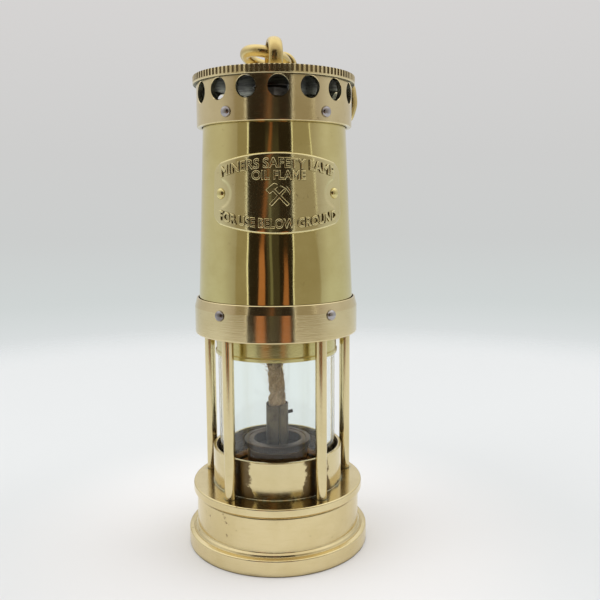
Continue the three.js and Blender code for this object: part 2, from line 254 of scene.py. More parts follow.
def collar_stain(tree, place, radius, z):
    """Brown patina at the collar's foot and behind the pillars, where no cloth reaches."""
    x, y, _ = tree.add("SeparateXYZ", {0: place}).outputs
    azimuth = tree.math("ARCTAN2", x, tree.times(y, -1.0))
    turned_by = tree.minus(azimuth, math.radians(node_azimuth("pillar_1") + 2))
    behind = tree.band(tree.math("COSINE", tree.times(turned_by, 5.0)), -0.2, 0.9)
    foot, clean = 0.0279, 0.0345
    low = tree.minus(1.0, tree.band(z, foot, clean))
    cloud = tree.noise(place, 260, 5.0, 0.7)
    total = tree.plus(tree.times(behind, 0.75), tree.times(low, 0.45))
    total = tree.plus(total, tree.times(tree.minus(cloud, 0.5), 1.3))
    return tree.times(tree.band(total, 0.42, 0.62), 0.85)


def plain_metal(name, colour, shade, roughness, depth=0.00005, patch=70):
    """Metal with blotches, a fine grain, and dark patina and painted shade in its corners."""
    tree = new_material(name)
    place = tree.place()
    blotch = tree.noise(place, patch, 5.0, 0.6)
    fine = tree.noise(place, 1100, 3.0, 0.6)
    base = tree.mix(tree.band(blotch, 0.38, 0.66), colour, shade)
    # Corners are darkened towards near-black brown: dark patina and painted shade together.
    dirt_and_shade = tree.times(tree.minus(1.0, tree.band(tree.corners(0.002), 0.3, 0.8)), 0.4)
    base = tree.mix(dirt_and_shade, base, srgb(40, 33, 26))
    rough = tree.plus(roughness - 0.1, tree.times(blotch, 0.2), clamp=True)
    normal = tree.bump(fine, 0.4, depth).outputs[0]
    return tree.surface(Base_Color=base, Metallic=1.0, Roughness=rough, Normal=normal)


def slot_shade(tree, place, radius, z):
    """Painted shade: darkens the floor of the slots between the crown's bright knurls."""
    edge = reach("crown")[0] * MM
    under = tree.minus(1.0, tree.band(radius, edge - 0.0003, edge - 0.00008))
    return tree.times(under, tree.band(radius, edge - 0.0009, edge - 0.0006))


def glass_material():
    tree = new_material("clear_glass")
    place = tree.place()
    dust = tree.band(tree.noise(place, 1300, 2.0, 0.6), 0.70, 0.76)
    return tree.surface(
        Base_Color=srgb(248, 252, 250), Roughness=tree.times(dust, 0.12), Transmission_Weight=1.0,
        IOR=1.47, Normal=tree.bump(tree.noise(place, 60, 1.0, 0.4), 0.12, 0.0002).outputs[0],
    )


def fibre_material(name, light, dark, scale):
    tree = new_material(name)
    place = tree.place()
    strand = tree.noise(place, scale, 4.0, 0.7)
    patch = tree.noise(place, 130, 3.0, 0.6)
    base = tree.mix(tree.band(strand, 0.35, 0.68), dark, light)
    shade = tuple(c * 0.6 for c in dark[:3]) + (1,)
    base = tree.mix(tree.times(tree.band(patch, 0.5, 0.7), 0.6), base, shade)
    normal = tree.bump(strand, 0.7, 0.00015).outputs[0]
    return tree.surface(Base_Color=base, Roughness=0.95, Specular_IOR_Level=0.15, Normal=normal)


def gauze_material():
    """Woven wire: a grid of crossing wires, with dark gaps between them."""
    tree = new_material("wire_gauze")
    x, y, z = tree.add("SeparateXYZ", {"Vector": tree.place()}).outputs
    upright = tree.math("SINE", tree.times(tree.math("ARCTAN2", y, x), 76.0))
    level = tree.math("SINE", tree.times(z, math.pi / 0.0009))
    wires = tree.math("MAXIMUM", tree.math("ABSOLUTE", upright), tree.math("ABSOLUTE", level))
    # The gaps between the wires are painted near-black: painted shade of the dark inside, seen through
    # the weave.
    base = tree.mix(tree.band(wires, 0.55, 0.85), srgb(18, 17, 16), srgb(128, 124, 116))
    normal = tree.bump(wires, 0.8, 0.0003).outputs[0]
    return tree.surface(Base_Color=base, Metallic=0.8, Roughness=0.55, Normal=normal)


# ---- mesh helpers


def add_object(name, data):
    data.name = name
    thing = bpy.data.objects.new(name, data)
    bpy.context.scene.collection.objects.link(thing)
    return thing


def new_mesh(vertices, faces):
    mesh = bpy.data.meshes.new("mesh")
    mesh.from_pydata(vertices, [], faces)
    return mesh


def put(name, mesh, finish, body):
    """Makes a piece, gives it its finish and fixes it to its body."""
    piece = add_object(name, mesh)
    mesh.materials.append(FINISHES[finish])
    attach(piece, body)
    return piece


def fit(node, mesh, finish, body):
    """Makes the finer piece that takes a node's place."""
    piece = put(node + "_fine", mesh, finish, body)
    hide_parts(node)
    return piece


def stand(mesh, place, direction):
    """Turns a mesh's +Z to a direction and moves it to a place."""
    turn = Vector((0, 0, 1)).rotation_difference(direction)
    mesh.transform(Matrix.Translation(place * MM) @ turn.to_matrix().to_4x4())


def rounded(profile, steps=5):
    """Turns (radius, height, fillet) corners into a closed outline with arcs."""
    points = []
    for i, corner in enumerate(profile):
        here = Vector(corner[:2])
        fillet = corner[2] if len(corner) > 2 else 0
        if not fillet:
            points.append(here)
            continue
        before = Vector(profile[i - 1][:2]) - here
        after = Vector(profile[(i + 1) % len(profile)][:2]) - here
        angle = before.angle(after)
        back = min(fillet / math.tan(angle / 2), before.length * 0.49, after.length * 0.49)
        start = here + before.normalized() * back
        end = here + after.normalized() * back
        for step in range(steps + 1):
            t = step / steps
            points.append(start * (1 - t) ** 2 + here * 2 * t * (1 - t) + end * t**2)
    return points


def lathe_mesh(outline, facets=FINE, closed=True, shape=None):
    """Revolves an outline. shape(radius, height, angle) may move a point."""
    vertices, faces = [], []
    count = len(outline)
    for step in range(facets):
        angle = 2 * math.pi * step / facets
        for radius, height in outline:
            r, h = shape(radius, height, angle) if shape else (radius, height)
            vertices.append((r * math.sin(angle) * MM, -r * math.cos(angle) * MM, h * MM))
        here, ahead = step * count, (step + 1) % facets * count
        for i in range(count if closed else count - 1):
            j = (i + 1) % count
            faces.append((here + i, ahead + i, ahead + j, here + j))
    mesh = new_mesh(vertices, faces)
    if not closed:
        weld(mesh)
    finish_mesh(mesh)
    return mesh


def weld(mesh):
    """Merges the points where a profile meets the axis and drops the slivers there."""
    work = bmesh.new()
    work.from_mesh(mesh)
    bmesh.ops.remove_doubles(work, verts=work.verts, dist=1e-7)
    bmesh.ops.dissolve_degenerate(work, edges=work.edges, dist=1e-7)
    bmesh.ops.recalc_face_normals(work, faces=work.faces)
    work.to_mesh(mesh)
    work.free()


def finish_mesh(mesh, sharp=38):
    mesh.validate()
    mesh.shade_smooth()
    mesh.set_sharp_from_angle(angle=math.radians(sharp))


def modify(piece, kind, **settings):
    modifier = piece.modifiers.new(kind.lower(), kind)
    for key, value in settings.items():
        setattr(modifier, key, value)


def crisp(piece):
    """Lets the large faces set the shading, so that only the rounded corners catch the light."""
    modify(piece, "WEIGHTED_NORMAL", keep_sharp=True, weight=100)
    return piece


def turned(node, profile, finish, body, facets=FINE, shape=None):
    return crisp(fit(node, lathe_mesh(rounded(profile), facets, shape=shape), finish, body))


def pipe_profile(bore, radius, bottom, top, fillet=0.15):
    return [(bore, bottom, fillet), (radius, bottom, fillet), (radius, top, fillet), (bore, top, fillet)]


def plain_ring(node, bore, finish, body, fillet=0.12, facets=MEDIUM):
    """A fine ring with the outer size of its node."""
    radius, bottom, top = reach(node)
    return turned(node, pipe_profile(bore, radius, bottom, top, fillet), finish, body, facets)


def ridges(radius, bottom, top, pitch, depth):
    """A thread's outline on a bore, from the top down."""
    points = []
    for turn in range(int((top - bottom) / pitch)):
        height = top - turn * pitch
        for down, out in ((0, 0), (0.35, depth), (0.6, depth), (0.95, 0)):
            points.append((radius - out, height - pitch * down))
    return points


# ---- camera, light and floor


def make_camera():
    """Stands in front of the lamp, a little above it, and looks slightly down."""
    camera = add_object("camera", bpy.data.cameras.new("camera"))
    camera.data.lens = 43.155
    camera.data.sensor_width = 36
    camera.data.clip_start = 0.01
    pitch, yaw, roll = 0.1365, 0.0373, -0.0052
    forward = Vector((math.sin(yaw) * math.cos(pitch), math.cos(yaw) * math.cos(pitch), -math.sin(pitch)))
    right = Vector((math.cos(yaw), -math.sin(yaw), 0))
    up = right.cross(forward)
    side = right * math.cos(roll) + up * math.sin(roll)
    top = up * math.cos(roll) - right * math.sin(roll)
    matrix = Matrix((side, top, -forward)).transposed().to_4x4()
    matrix.translation = Vector((-0.00118, -0.31341, 0.15118))
    camera.matrix_world = matrix
    bpy.context.scene.camera = camera


def make_world():
    """A pale room: brightest low down, greyer above, and dimmer towards the front."""
    world = bpy.data.worlds.new("room")
    bpy.context.scene.world = world
    tree = Tree(world)
    _, y, z = tree.add("SeparateXYZ", {0: tree.add("TexCoord").outputs["Generated"]}).outputs
    stops = (
        (-0.27, srgb(237, 241, 242)), (-0.205, srgb(226, 230, 231)), (-0.175, srgb(217, 221, 221)),
        (-0.135, srgb(208, 213, 212)), (-0.05, srgb(204, 206, 205)), (0.06, srgb(206, 206, 205)),
        (0.27, srgb(214, 212, 211)), (0.5, srgb(248, 248, 247)), (0.85, (1.3, 1.3, 1.3, 1)),
    )
    height = tree.add("MapRange", {"Value": z, "From Min": -1.0}).outputs[0]
    wall = tree.ramp(height, [((level + 1) / 2, colour) for level, colour in stops])
    wall = tree.mix(tree.band(y, 0.0, -0.6), wall, (0.66, 0.61, 0.55, 1), "MULTIPLY")
    tree.put(tree.nodes["Background"].inputs["Color"], wall)


def make_floor():
    """A pale round table top, painted lighter close to the lamp and darker further out, which fades out
    at its edge.
    """
    tree = new_material("pale_floor")
    flat = tree.add("VectorMath", {0: tree.place(), 1: (1, 1, 0)}, operation="MULTIPLY")
    away = tree.add("VectorMath", {0: flat.outputs[0]}, operation="LENGTH").outputs["Value"]
    # Painted light: the floor is painted lighter close to the lamp, to lift the lamp's shadow, and darker
    # further out.
    colour = tree.mix(tree.band(away, 0.06, 0.15), srgb(225, 225, 226), srgb(210, 213, 215))
    fade = tree.minus(1.0, tree.band(away, 0.40, 0.58))
    material = tree.surface(Base_Color=colour, Roughness=0.9, Specular_IOR_Level=0.1, Alpha=fade)
    size = 0.6
    corners = [(-size, -size, 0), (size, -size, 0), (size, size, 0), (-size, size, 0)]
    mesh = new_mesh(corners, [(0, 1, 2, 3)])
    mesh.materials.append(material)
    add_object("floor", mesh)


def area_light(name, place, power):
    """A square window that faces the lamp's foot. It doesn't show in the brass."""
    light = bpy.data.lights.new(name, "AREA")
    light.size = 1.0
    light.energy = power
    lamp = add_object(name, light)
    lamp.location = place
    direction = Vector((0, 0, 0.1)) - Vector(place)
    lamp.rotation_euler = direction.to_track_quat("-Z", "Y").to_euler()
    lamp.visible_camera = False
    lamp.visible_glossy = False


def reflection_card(name, corners, colour, strength=1.0):
    """A dark or coloured card in front of the lamp, which only reflections see."""
    tree = new_material(name)
    tree.nodes.clear()
    glow = tree.add("Emission", {"Color": colour, "Strength": strength})
    tree.add("OutputMaterial", {0: glow.outputs[0]})
    mesh = new_mesh(corners, [(0, 1, 2, 3)])
    mesh.materials.append(tree.owner)
    card = add_object(name, mesh)
    for ray in ("camera", "diffuse", "shadow", "transmission"):
        setattr(card, "visible_" + ray, False)


def place_in_front(azimuth, distance, height):
    return (math.tan(math.radians(azimuth)) * distance, -distance, height)


def strip(distance, low, low_from, low_to, high, high_from, high_to):
    """An upright card's corners, from the azimuths of its lower and upper edges."""
    corners = ((low_from, low), (low_to, low), (high_to, high), (high_from, high))
    return [place_in_front(azimuth, distance, height) for azimuth, height in corners]


def table_strip(start, end, height):
    """The corners of a card that lies low over the table, between two azimuths."""
    corners = ((start, 0.30), (end, 0.30), (end, 0.50), (start, 0.50))
    return [place_in_front(azimuth, distance, height) for azimuth, distance in corners]


def make_light():
    make_world()
    make_floor()
    dark = srgb(44, 37, 29)
    skin = srgb(182, 122, 84)
    room = srgb(164, 156, 138)
    bright = srgb(255, 255, 250)
    for name, corners, colour, *strength in (
        ("dark_card", strip(0.50, 0.0, -40, 24, 0.52, -39, 25), dark),
        ("left_arm", strip(0.48, 0.0, -28, -15.5, 0.14, -23, -16), skin),
        ("left_wrist", strip(0.485, 0.14, -22, -17, 0.26, -7, -3), srgb(144, 94, 62)),
        ("left_hand", strip(0.485, 0.26, -7, -3, 0.52, -5, -2), srgb(120, 76, 52)),
        ("right_arm", strip(0.48, 0.0, 6, 18, 0.13, 12, 17), srgb(172, 114, 78)),
        ("olive_strip", strip(0.49, 0.0, -11, 4, 0.26, -14, 6), srgb(72, 67, 54)),
        ("pale_strip", strip(0.482, 0.04, -8, -4, 0.22, -9, -6), srgb(124, 124, 104)),
        ("left_edge", strip(0.47, 0.0, -42, -40, 0.52, -41, -39.5), bright, 1.2),
        ("right_edge", strip(0.47, 0.0, 24, 25.5, 0.52, 25, 26.5), bright, 1.2),
        ("right_room_low", strip(0.50, 0.0, 25.5, 70, 0.22, 26, 60), room),
        ("right_room_high", strip(0.50, 0.22, 26, 60, 0.52, 26.5, 38), room),
        ("right_glow", strip(0.49, 0.20, 61, 62.5, 0.52, 38, 41), srgb(255, 255, 240), 1.1),
        ("left_room", strip(0.50, 0.0, -60, -42, 0.52, -58, -41), srgb(160, 151, 130)),
        ("table_shade", table_strip(-40, 24, 0.001), dark),
        ("table_left", table_strip(-28, -14, 0.002), skin),
        ("table_right", table_strip(6, 19, 0.002), skin),
    ):
        reflection_card(name, corners, colour, *strength)
    area_light("left_window", (-0.75, -0.2, 1.15), 5.0)
    area_light("right_window", (0.75, 0.1, 1.2), 4.5)


# ---- vessel and burner


def make_vessel():
    radius, bottom, top = reach("vessel_body")
    shoulder = reach("pillar_base_ring")[1] - 0.2
    body, neck, hole = 36.2, 26.35, 10.2
    profile = [
        (33.4, bottom, 0.3), (radius, bottom, 0.6), (radius, 7.1, 0.8), (38.2, 7.5, 0.5),
        (37.5, 7.2, 0.3), (37.0, 8.0, 0.3), (body, 8.8, 0.8), (body, shoulder, 0.3),
        (neck, shoulder), (neck, top, 0.4), (hole, top, 0.3), (hole, 27.2), (23.5, 27.2),
        (23.5, 20.5), (31.5, 20.5), (31.5, 10.7), (33.4, 10.7),
    ]
    turned("vessel_body", profile, "base", "vessel")
    plain_ring("vessel_base", 0.4, "base", "vessel")
    plain_ring("vessel_seal", 27.3, "fibre", "seal")


def make_burner():
    knurls = 110
    ring_radius, ring_bottom, ring_top = reach("burner_ring")
    neck_top = reach("burner_plate")[2] + 1.1
    plate = [
        (5.3, 29.4), (22, 29.4, 0.2), (22, 31.5, 0.3), (13.9, 31.5, 0.5), (13.0, 33.0, 0.5),
        (13.4, 35.5, 0.6), (13.4, neck_top, 0.25), (11.6, neck_top), (11.6, 31.5), (5.3, 31.5),
    ]
    turned("burner_plate", plate, "neck", "vessel", MEDIUM)
    dish = [(9.75, 31.8), (10.2, 31.8), (10.2, 42.0, 0.3), (5.3, 40.8), (5.3, 40.0), (9.75, 41.0)]
    turned("burner_dish", dish, "dish", "vessel", MEDIUM)
    washer = pipe_profile(11.8, reach("burner_washer")[0], neck_top + 0.05, neck_top + 0.5, 0.1)
    turned("burner_washer", washer, "fibre", "burner_washer", MEDIUM)

    def knurl(radius, height, angle):
        if radius > 14.3 and 44.1 < height < 45.8:
            radius -= 0.16 * (0.5 + 0.5 * math.cos(knurls * angle))
        return radius, height

    cap = [
        (10.5, ring_bottom), (11.3, ring_bottom), (11.3, 43.6), (13.9, 43.6, 0.3),
        (ring_radius, 43.9, 0.2),
        *[(ring_radius, height) for height in (44.0, 44.2, 44.9, 45.7, 45.85)],
        (ring_radius, ring_top, 0.6), (12.9, ring_top, 0.4), (12.5, ring_top - 0.3, 0.3),
        (11.9, ring_top - 0.2, 0.2), (10.5, ring_top - 0.35, 0.35),
    ]
    turned("burner_ring", cap, "dark", "burner_ring", knurls * 6, knurl)


def make_wick_tube():
    """A tube rolled from sheet, whose edges meet in an open seam to the right of the front."""
    radius, bottom, top = reach("wick_tube")
    wall, columns = 0.55, 90
    seam, opening = 12.0, 2.6
    rows = [bottom, 30, 40, 45, 50, 55, 58, 61, None]
    vertices, faces = [], []
    for column in range(columns + 1):
        share = column / columns
        azimuth = seam + opening / 2 + (360 - opening) * share
        edge = top - 0.75 * max(0.0, math.cos(math.radians(azimuth + 40))) ** 2
        curl = 0.12 * (1 - share) ** 8 - 0.25 * share**12
        for row in rows:
            height = edge if row is None else min(row, edge - 0.4)
            for r in (radius + curl, radius + curl - wall):
                vertices.append(around(azimuth, r, height) * MM)
    per = len(rows) * 2
    last = per - 2
    for a in range(0, columns * per, per):
        b = a + per
        for i in range(0, last, 2):
            faces.append((a + i, b + i, b + i + 2, a + i + 2))
            faces.append((b + i + 1, a + i + 1, a + i + 3, b + i + 3))
        faces.append((a + last, b + last, b + last + 1, a + last + 1))
        faces.append((b, a, a + 1, b + 1))
    end = columns * per
    for i in range(0, last, 2):
        faces.append((i, i + 2, i + 3, i + 1))
        faces.append((end + i + 1, end + i + 3, end + i + 2, end + i))
    mesh = new_mesh(vertices, faces)
    weld(mesh)
    finish_mesh(mesh)
    piece = fit("wick_tube", mesh, "tube", "vessel")
    modify(piece, "BEVEL", width=0.00012, segments=2, limit_method="ANGLE", angle_limit=math.radians(50))
    crisp(piece)


def swept(points, radii, sides):
    """A tube along a path, with flat ends. radii has one radius for each point."""
    vertices, faces = [], []
    for i, (point, radius) in enumerate(zip(points, radii)):
        tangent = (points[min(i + 1, len(points) - 1)] - points[max(i - 1, 0)]).normalized()
        if i == 0:
            normal = tangent.orthogonal().normalized()
        normal = (normal - tangent * normal.dot(tangent)).normalized()
        binormal = tangent.cross(normal)
        for side in range(sides):
            angle = 2 * math.pi * side / sides
            ray = normal * math.cos(angle) + binormal * math.sin(angle)
            vertices.append((point + ray * radius) * MM)
            ahead = (side + 1) % sides
            if i:
                a, b = (i - 1) * sides, i * sides
                faces.append((a + side, a + ahead, b + ahead, b + side))
    faces.append(tuple(reversed(range(sides))))
    faces.append(tuple(range(len(vertices) - sides, len(vertices))))
    mesh = new_mesh(vertices, faces)
    finish_mesh(mesh, 60)
    return mesh


def smooth_path(points, count):
    """Catmull-Rom points through a list of points."""
    knots = [Vector(p) for p in points]
    knots = [knots[0] * 2 - knots[1], *knots, knots[-1] * 2 - knots[-2]]
    spans = len(knots) - 3
    path = []
    for step in range(count + 1):
        where = min(step / count * spans, spans - 1e-9)
        i, t = int(where), where % 1
        a, b, c, d = knots[i : i + 4]
        curved = (a * 2 - b * 5 + c * 4 - d) * t**2 + (b * 3 - a - c * 3 + d) * t**3
        path.append((b * 2 + (c - a) * t + curved) / 2)
    return path


def make_pricker():
    offset, rod, bore = 7.4, 0.8, 1.15
    route = [
        *[(0, offset, height) for height in (0.9, 20, 40, 51)], (0.15, offset, 53.5), (0.9, offset, 54.7),
        (2.2, offset - 0.05, 55.1), (5, offset - 0.2, 55.7), (7.3, offset - 0.3, 56.3),
    ]
    path = smooth_path(route, 90)
    fit("pricker_wire", swept(path, [rod] * len(path), 14), "wire", "pricker")
    for node, body in (
        ("pricker_guide", "vessel"), ("pricker_collar", "pricker_collar"), ("pricker_knob", "pricker"),
    ):
        radius, bottom, top = reach(node)
        mesh = lathe_mesh(rounded(pipe_profile(bore, radius, bottom, top, 0.2)), COARSE)
        mesh.transform(Matrix.Translation((0, offset * MM, 0)))
        crisp(fit(node, mesh, "base", body))


# ---- wick


def make_wick():
    """Twisted strands that spread and fray towards the top, with loose fibres."""
    _, bottom, top = reach("wick")
    bottom += 1.0
    bore, drawn_in = 3.92, 71.5
    tube_top, free_length = 61.4, 20
    strands, steps, fibres = 11, 64, 260

    def inside_tube(point, radius):
        """Keeps the part that the feed can draw down inside the tube's bore."""
        away = point.xy.length
        if point.z < drawn_in and away > bore - radius:
            point.xy *= (bore - radius) / away
        return point

    def width(height):
        share = (height - tube_top) / free_length
        if share < 0:
            return 3.6
        return 4.25 - 0.95 * math.sin(min(share, 1) * math.pi * 0.8) + (0.8 if share > 0.9 else 0)

    def centre(height):
        share = max(0.0, (height - tube_top) / free_length)
        x = -0.55 * share + 0.5 * math.sin(share * 5.2) * share
        return Vector((x, 0.3 * math.sin(share * 4), height))

    parts = []
    for index in range(strands):
        phase = 2 * math.pi * index / strands
        inner = 0.45 if index % 3 == 0 else 0.72
        strand_top = top - RNG.uniform(0.2, 2.6)
        points, radii = [], []
        for step in range(steps + 1):
            height = bottom + (strand_top - bottom) * step / steps
            twist = phase + height * 0.16 + 0.25 * math.sin(height * 0.9 + index)
            away = width(height) * inner + 0.10 * math.sin(height * 2.1 + index * 1.7)
            point = centre(height) + Vector((math.cos(twist), math.sin(twist), 0)) * away
            thin = 1.15 - 0.75 * max(0.0, height - top + 4) / 4
            points.append(inside_tube(point, thin))
            radii.append(thin)
        parts.append(swept(points, radii, 9))
    for _ in range(fibres):
        height = RNG.uniform(61.9, top - 0.3)
        twist = RNG.uniform(0, 2 * math.pi)
        ray = Vector((math.cos(twist), math.sin(twist), 0))
        start = centre(height) + ray * (width(height) + 0.15)
        length = RNG.uniform(0.8, 2.6) * (1.5 if height > top - 4 else 0.8)
        lean = Vector((RNG.uniform(-0.6, 0.6), RNG.uniform(-0.6, 0.6), RNG.uniform(-0.2, 1.0)))
        out = RNG.uniform(0.05, 0.5)
        points = []
        for step in range(6):
            t = step / 5
            bend = Vector((0, 0, 0.5 * math.sin(t * 3 + twist)))
            point = start + (ray * out + lean * 0.7) * length * t + bend * length * 0.2 * t
            point.z = min(point.z, top)
            points.append(inside_tube(point, 0.1))
        parts.append(swept(points, [0.085, 0.08, 0.07, 0.06, 0.05, 0.03], 4))
    mesh = joined_mesh(parts)
    finish_mesh(mesh, 70)
    fit("wick", mesh, "wick", "wick")


def joined_mesh(meshes):
    """One mesh from several."""
    vertices, faces = [], []
    for mesh in meshes:
        start = len(vertices)
        vertices.extend(tuple(v.co) for v in mesh.vertices)
        faces.extend(tuple(start + i for i in p.vertices) for p in mesh.polygons)
        bpy.data.meshes.remove(mesh)
    return new_mesh(vertices, faces)


# ---- frame, glass and gauzes


def make_lower_frame():
    radius, bottom, top = reach("pillar_base_ring")
    plate_top = reach("pillar_1")[1] + 2.7
    collar = 28.65
    profile = [
        (34.9, bottom, 0.1), (36.35, bottom, 0.1), (37.1, 23.9, 0.5), (radius, 24.7, 0.6),
        (radius, plate_top, 0.7), (collar, plate_top, 0.35), (collar, top, 0.4), (27.2, top, 0.25),
        *ridges(27.0, 35.6, 43.3, 1.25, 0.32), (26.85, 35.2), (26.85, 24.3), (34.9, 24.3),
    ]
    ring = turned("pillar_base_ring", profile, "plate", "frame")
    tarnish_inside(ring.data, "stain", -0.2)
    wall = (collar + 0.05) * MM
    recolour(ring.data, "collar", lambda face: outwards(face) > 0.3 and face.center.xy.length < wall)
    for index in range(1, 6):
        make_pillar(f"pillar_{index}", plate_top)


def make_pillar(node, foot):
    radius, bottom, top = reach(node)
    tenon = 1.7
    head = reach("bonnet_ring")[1]
    outline = [
        (0, bottom), (tenon, bottom), (tenon, foot), (radius - 0.15, foot), (radius, foot + 0.2),
        (radius, head), (tenon, head), (tenon, top), (0, top),
    ]
    mesh = lathe_mesh(outline, COARSE, closed=False)
    centre = node_centre(node)
    mesh.transform(Matrix.Translation((centre.x * MM, centre.y * MM, 0)))
    crisp(fit(node, mesh, "pillar", "frame"))


def make_glass():
    radius, bottom, top = reach("glass")
    glass = turned("glass", pipe_profile(22.2, radius, bottom, top, 0.5), "glass", "frame")
    glass.visible_shadow = False
    plain_ring("glass_retainer_ring", 22.6, "neck", "frame", 0.3)
    plain_ring("lower_glass_gasket", 22.7, "fibre", "frame")
    plain_ring("upper_glass_gasket", 22.7, "fibre", "frame")


def make_gauze_seat():
    radius, bottom, top = reach("gauze_seat_ring")

    def uneven(r, height, angle):
        if r > 25.5 and height < 94:
            r += 0.05 * math.sin(angle * 7 + 1) + 0.035 * math.sin(angle * 17)
        return r, height

    profile = [
        (26.05, bottom, 0.15), (26.7, bottom, 0.3), (26.75, 87.3, 0.35), (26.35, 87.7, 0.25),
        (26.4, 94.0, 0.3), (26.4, 99.9), (radius, 99.9, 0.2), (radius, top, 0.2), (22.5, top),
        (22.5, 87.9), (26.05, 87.9),
    ]
    turned("gauze_seat_ring", profile, "cast", "frame", shape=uneven)


def make_gauzes():
    wall = 0.5
    for node, foot, cap in (("inner_gauze", 21.8, 19.8), ("outer_gauze", 25.2, 23.0)):
        flange, bottom, top = reach(node)
        outline = [
            (0, top - wall), (cap - wall - 1, top - wall), (cap - wall, top - wall - 1),
            (foot - wall, bottom), (flange, bottom), (flange, bottom + 0.5),
            (foot + 0.3, bottom + 0.5), (foot, bottom + 0.9),
            (cap, top - 1), (cap - 0.3, top - 0.3), (cap - 1, top), (0, top),
        ]
        fit(node, lathe_mesh(outline, MEDIUM, closed=False), "gauze", "frame")
    plain_ring("gauze_clamp_ring", 26.0, "neck", "frame")


# ---- bonnet


def shell_radius(height):
    """The tapered bonnet's outer radius."""
    foot_radius, top_radius = 33.3, 30.3
    low, high = reach("bonnet_ring")[2], reach("vent_band")[1]
    return foot_radius + (top_radius - foot_radius) * (height - low) / (high - low)


def make_bonnet_ring():
    radius, bottom, top = reach("bonnet_ring")
    profile = [
        (26.9, bottom, 0.2), (radius, bottom, 0.7), (radius, 106.7, 0.2), (34.45, top - 0.25, 0.12),
        (34.2, top, 0.1), (33.75, top), (33.75, 99.6), (26.9, 99.6),
    ]
    turned("bonnet_ring", profile, "turned", "frame")


def make_bonnet_shell():
    _, bottom, top = reach("bonnet_shell")
    wall = 1.0
    heights = [bottom, reach("bonnet_ring")[2], 134.0, 158.0, reach("vent_band")[1], top]
    outer = [(min(33.45, shell_radius(z)), z) for z in heights]
    inner = [(r - wall, z) for r, z in reversed(outer)]
    shell = turned("bonnet_shell", [*outer, *inner], "sheet", "frame")
    tarnish_inside(shell.data, "vent")


def make_vent_band():
    radius, bottom, top = reach("vent_band")
    bore, edge = 30.6, top - 0.3
    profile = [(bore, bottom, 0.2), (radius, bottom, 0.55), (radius, edge, 0.1), (bore, edge)]
    mesh = lathe_mesh(rounded(profile), FINE + 48)
    band = fit("vent_band", mesh, "turned", "frame")
    outline = [
        (0, 24), (VENT_RADIUS, 24), (VENT_RADIUS, radius - 0.3), (VENT_RADIUS + 0.28, radius + 0.02),
        (VENT_RADIUS + 0.5, 40), (0, 40),
    ]
    for index in range(VENTS):
        drill = lathe_mesh(outline, 64, closed=False)
        stand(drill, Vector((0, 0, VENT_HEIGHT)), outward(VENT_START + 360 * index / VENTS))
        cut(band, drill)
    true_normals(band.data)
    tarnish_inside(band.data, "vent", 0.35)


def recolour(mesh, finish, chosen):
    """Gives the faces for which chosen(face) is true another finish."""
    mesh.materials.append(FINISHES[finish])
    other = len(mesh.materials) - 1
    for polygon in mesh.polygons:
        if chosen(polygon):
            polygon.material_index = other


def outwards(polygon):
    """How far a face looks away from the axis: 1 straight out, -1 straight in."""
    return polygon.normal.xy.dot(polygon.center.xy.normalized())


def tarnish_inside(mesh, finish, limit=-0.5):
    """Gives the faces that look towards the axis, and the walls of the holes, a dull finish."""
    recolour(mesh, finish, lambda face: outwards(face) < limit and abs(face.normal.z) < 0.9)


def cut(piece, drill):
    """Cuts a drill out of a piece and keeps the result as its mesh."""
    tool = add_object("drill", drill)
    modify(piece, "BOOLEAN", operation="DIFFERENCE", solver="EXACT", object=tool)
    bake_modifiers(piece)
    bpy.data.objects.remove(tool)
    bpy.data.meshes.remove(drill)


def evaluated_mesh(thing):
    graph = bpy.context.evaluated_depsgraph_get()
    return bpy.data.meshes.new_from_object(thing.evaluated_get(graph), depsgraph=graph)


def bake_modifiers(piece):
    made = evaluated_mesh(piece)
    piece.modifiers.clear()
    old = piece.data
    made.name = old.name
    piece.data = made
    bpy.data.meshes.remove(old)


def true_normals(mesh):
    """Gives the band's outer face the exact directions of a cylinder, round the holes too."""
    finish_mesh(mesh, 30)
    normals = []
    for polygon in mesh.polygons:
        outer = outwards(polygon) > 0.999
        for loop in polygon.loop_indices:
            place = mesh.vertices[mesh.loops[loop].vertex_index].co
            round_out = place.xy.to_3d().normalized()
            normals.append(round_out if outer else mesh.corner_normals[loop].vector.copy())
    mesh.normals_split_custom_set(normals)


def rivet_outline(head, rise, length, steps=9):
    """A domed head on a shank, from the shank's end upwards."""
    dome = []
    for step in range(steps):
        angle = math.pi / 2 * step / steps
        dome.append((head * math.cos(angle) ** 0.85, 0.08 + (rise - 0.08) * math.sin(angle)))
    return [(0, -length), (1.1, -length), (1.1, 0), (head - 0.05, 0), *dome, (0, rise)]


def make_rivets():
    outline = rivet_outline(head=2.2, rise=1.5, length=3.0)
    for kind, count, face, finish in (
        ("bonnet_ring_rivet", 5, reach("bonnet_ring")[0], "steel"),
        ("vent_band_rivet", 5, reach("vent_band")[0], "steel"),
        ("nameplate_rivet", 2, shell_radius(PLATE_MIDDLE) + 0.9, "sheet_rivet"),
    ):
        for index in range(1, count + 1):
            node = f"{kind}_{index}"
            azimuth = node_azimuth(node)
            mesh = lathe_mesh(outline, COARSE, closed=False)
            stand(mesh, around(azimuth, face, node_centre(node).z), outward(azimuth))
            fit(node, mesh, finish, "frame")


